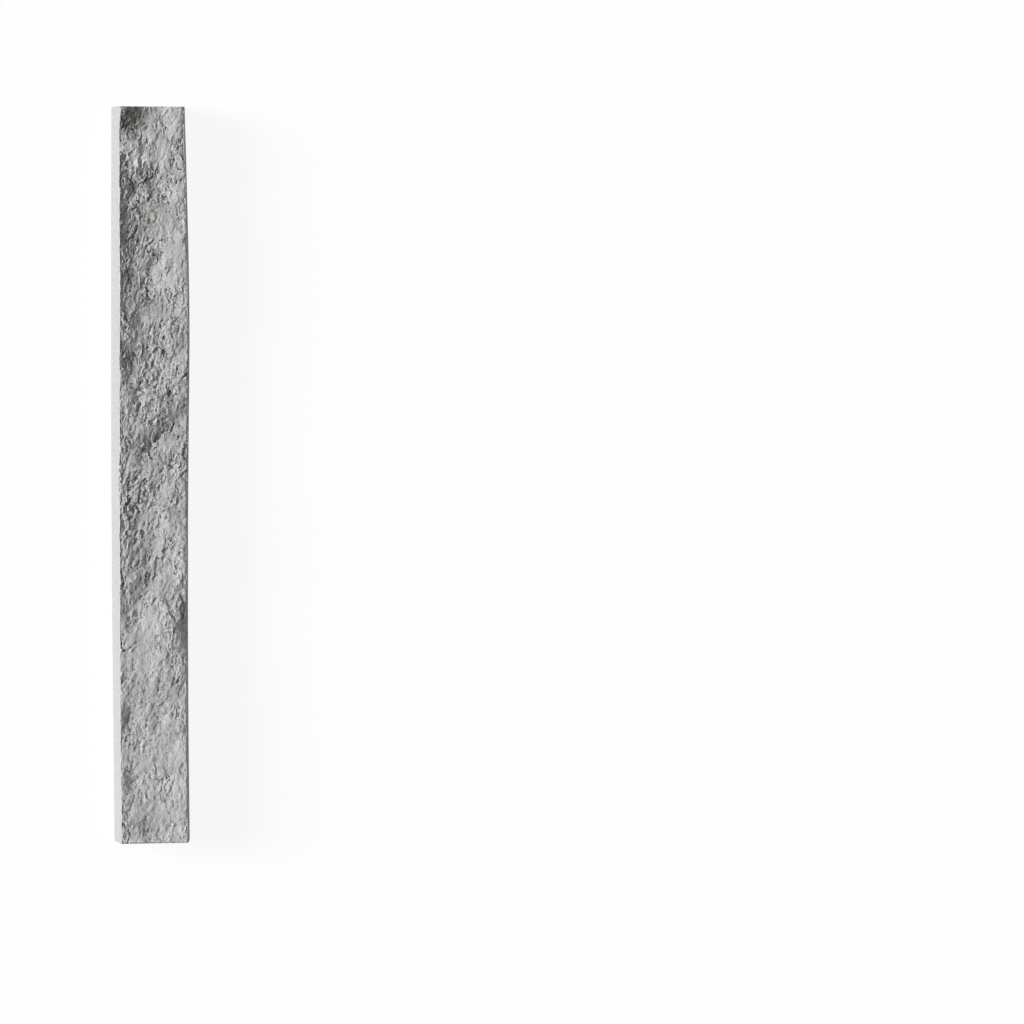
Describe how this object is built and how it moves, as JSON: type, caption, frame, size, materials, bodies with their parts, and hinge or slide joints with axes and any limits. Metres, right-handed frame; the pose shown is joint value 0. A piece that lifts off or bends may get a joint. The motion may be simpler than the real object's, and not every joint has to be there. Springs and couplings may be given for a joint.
{
  "type": "faux stone ledger trim",
  "caption": "Long moulded strip with a split-stone face, drafted sides and a flat back, which finishes the cut edge of stone-look wall panels.",
  "frame": {"origin": "middle of the flat back face", "axes": "+Z out of the back through the stone face, +Y along the length to the head end, +X across the width"},
  "size_m": [0.0654, 0.6096, 0.0398],
  "materials": {
    "moulded_stone": "matte grey stone colour, moulded in, with a darker wash in the hollows"
  },
  "bodies": {
    "root": {"trim_strip": "moulded_stone"}
  },
  "joints": []
}
